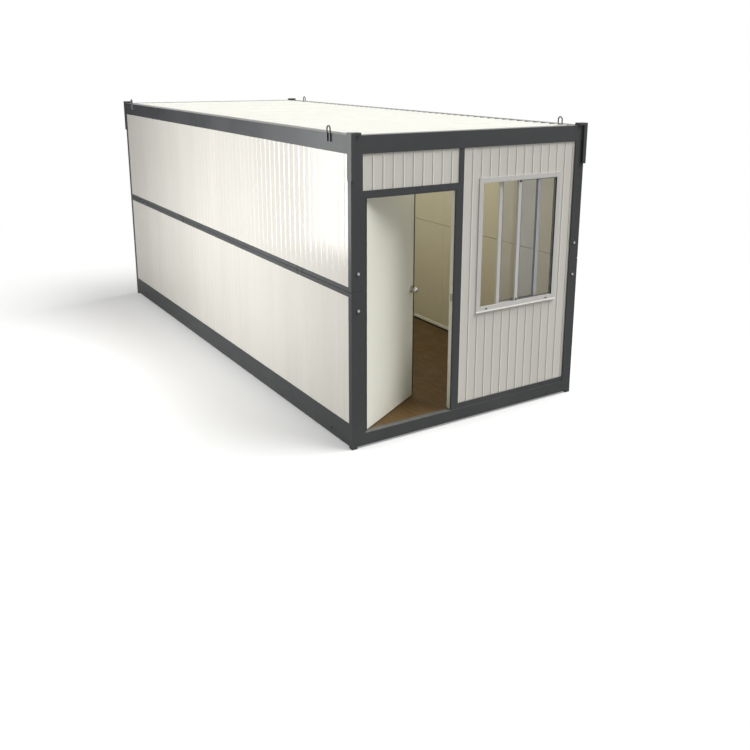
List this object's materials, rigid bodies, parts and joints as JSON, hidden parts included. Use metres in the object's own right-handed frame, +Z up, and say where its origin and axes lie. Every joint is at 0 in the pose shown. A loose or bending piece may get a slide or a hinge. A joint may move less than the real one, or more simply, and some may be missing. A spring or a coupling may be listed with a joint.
{
  "type": "folding prefab house",
  "caption": "Folding prefab house standing erected: dark steel frame, ribbed pale wall panels, hinged side walls, a hinged door and a sliding window in the front.",
  "frame": {"origin": "on the ground, under the middle of the house", "axes": "+Z up, +X to the right seen from the front, +Y from the front (door) end to the rear"},
  "size_m": [2.464, 5.84, 2.6109],
  "materials": {
    "frame_steel": "satin powder coat, charcoal grey",
    "wall_panel": "coated ribbed steel skin, warm off-white",
    "roof_sheet": "coated ribbed steel skin, white",
    "floor_board": "dark brown sealed board",
    "rubber_seal": "matt black sealing strip",
    "bright_steel": "zinc plated and brushed",
    "window_plastic": "white window profile",
    "glass": "clear float glass",
    "door_sheet": "smooth coated steel, cream"
  },
  "bodies": {
    "house": {"corner_feet": "frame_steel", "floor_front_beam": "frame_steel", "floor_rear_beam": "frame_steel", "floor_left_beam": "frame_steel", "floor_right_beam": "frame_steel", "floor_joists": "frame_steel", "floor_board": "floor_board", "left_lower_frame": "frame_steel", "left_lower_panel": "wall_panel", "left_upper_frame": "frame_steel", "left_upper_panel": "wall_panel", "right_lower_frame": "frame_steel", "right_lower_panel": "wall_panel", "right_upper_frame": "frame_steel", "right_upper_panel": "wall_panel", "fold_seals": "rubber_seal", "roof_front_beam": "frame_steel", "roof_rear_beam": "frame_steel", "roof_left_beam": "frame_steel", "roof_right_beam": "frame_steel", "roof_panel": "roof_sheet", "corner_guides": "frame_steel", "lifting_rings": "bright_steel", "post_bolts": "bright_steel", "front_bottom_rail": "frame_steel", "front_mullion": "frame_steel", "door_head_rail": "frame_steel", "transom_panel": "wall_panel", "front_wall_sides": "wall_panel", "front_wall_below": "wall_panel", "front_wall_above": "wall_panel", "window_frame": "window_plastic", "outer_sash": "window_plastic", "inner_sash": "window_plastic", "window_glass": "glass", "rear_bottom_rail": "frame_steel", "rear_mullion": "frame_steel", "rear_left_panel": "wall_panel", "rear_right_panel": "wall_panel", "door_frame": "frame_steel", "frame_hinges": "bright_steel"},
    "door": {"door_leaf": "door_sheet", "leaf_hinges": "bright_steel", "knob_roses": "bright_steel"},
    "knob": {"door_knob": "bright_steel"}
  },
  "joints": [
    {"name": "door_hinge", "type": "hinge", "parent": "house", "child": "door", "pos_m": [-1.09, -2.82, 0.137], "axis": [0, 0, 1], "range_deg": [-30, 55]},
    {"name": "knob_turn", "type": "hinge", "parent": "door", "child": "knob", "pos_m": [-0.36682, -2.44058, 1.145], "axis": [0.5, -0.866, 0], "range_deg": [-60, 60], "stiffness_Nm_per_rad": 0.4}
  ]
}
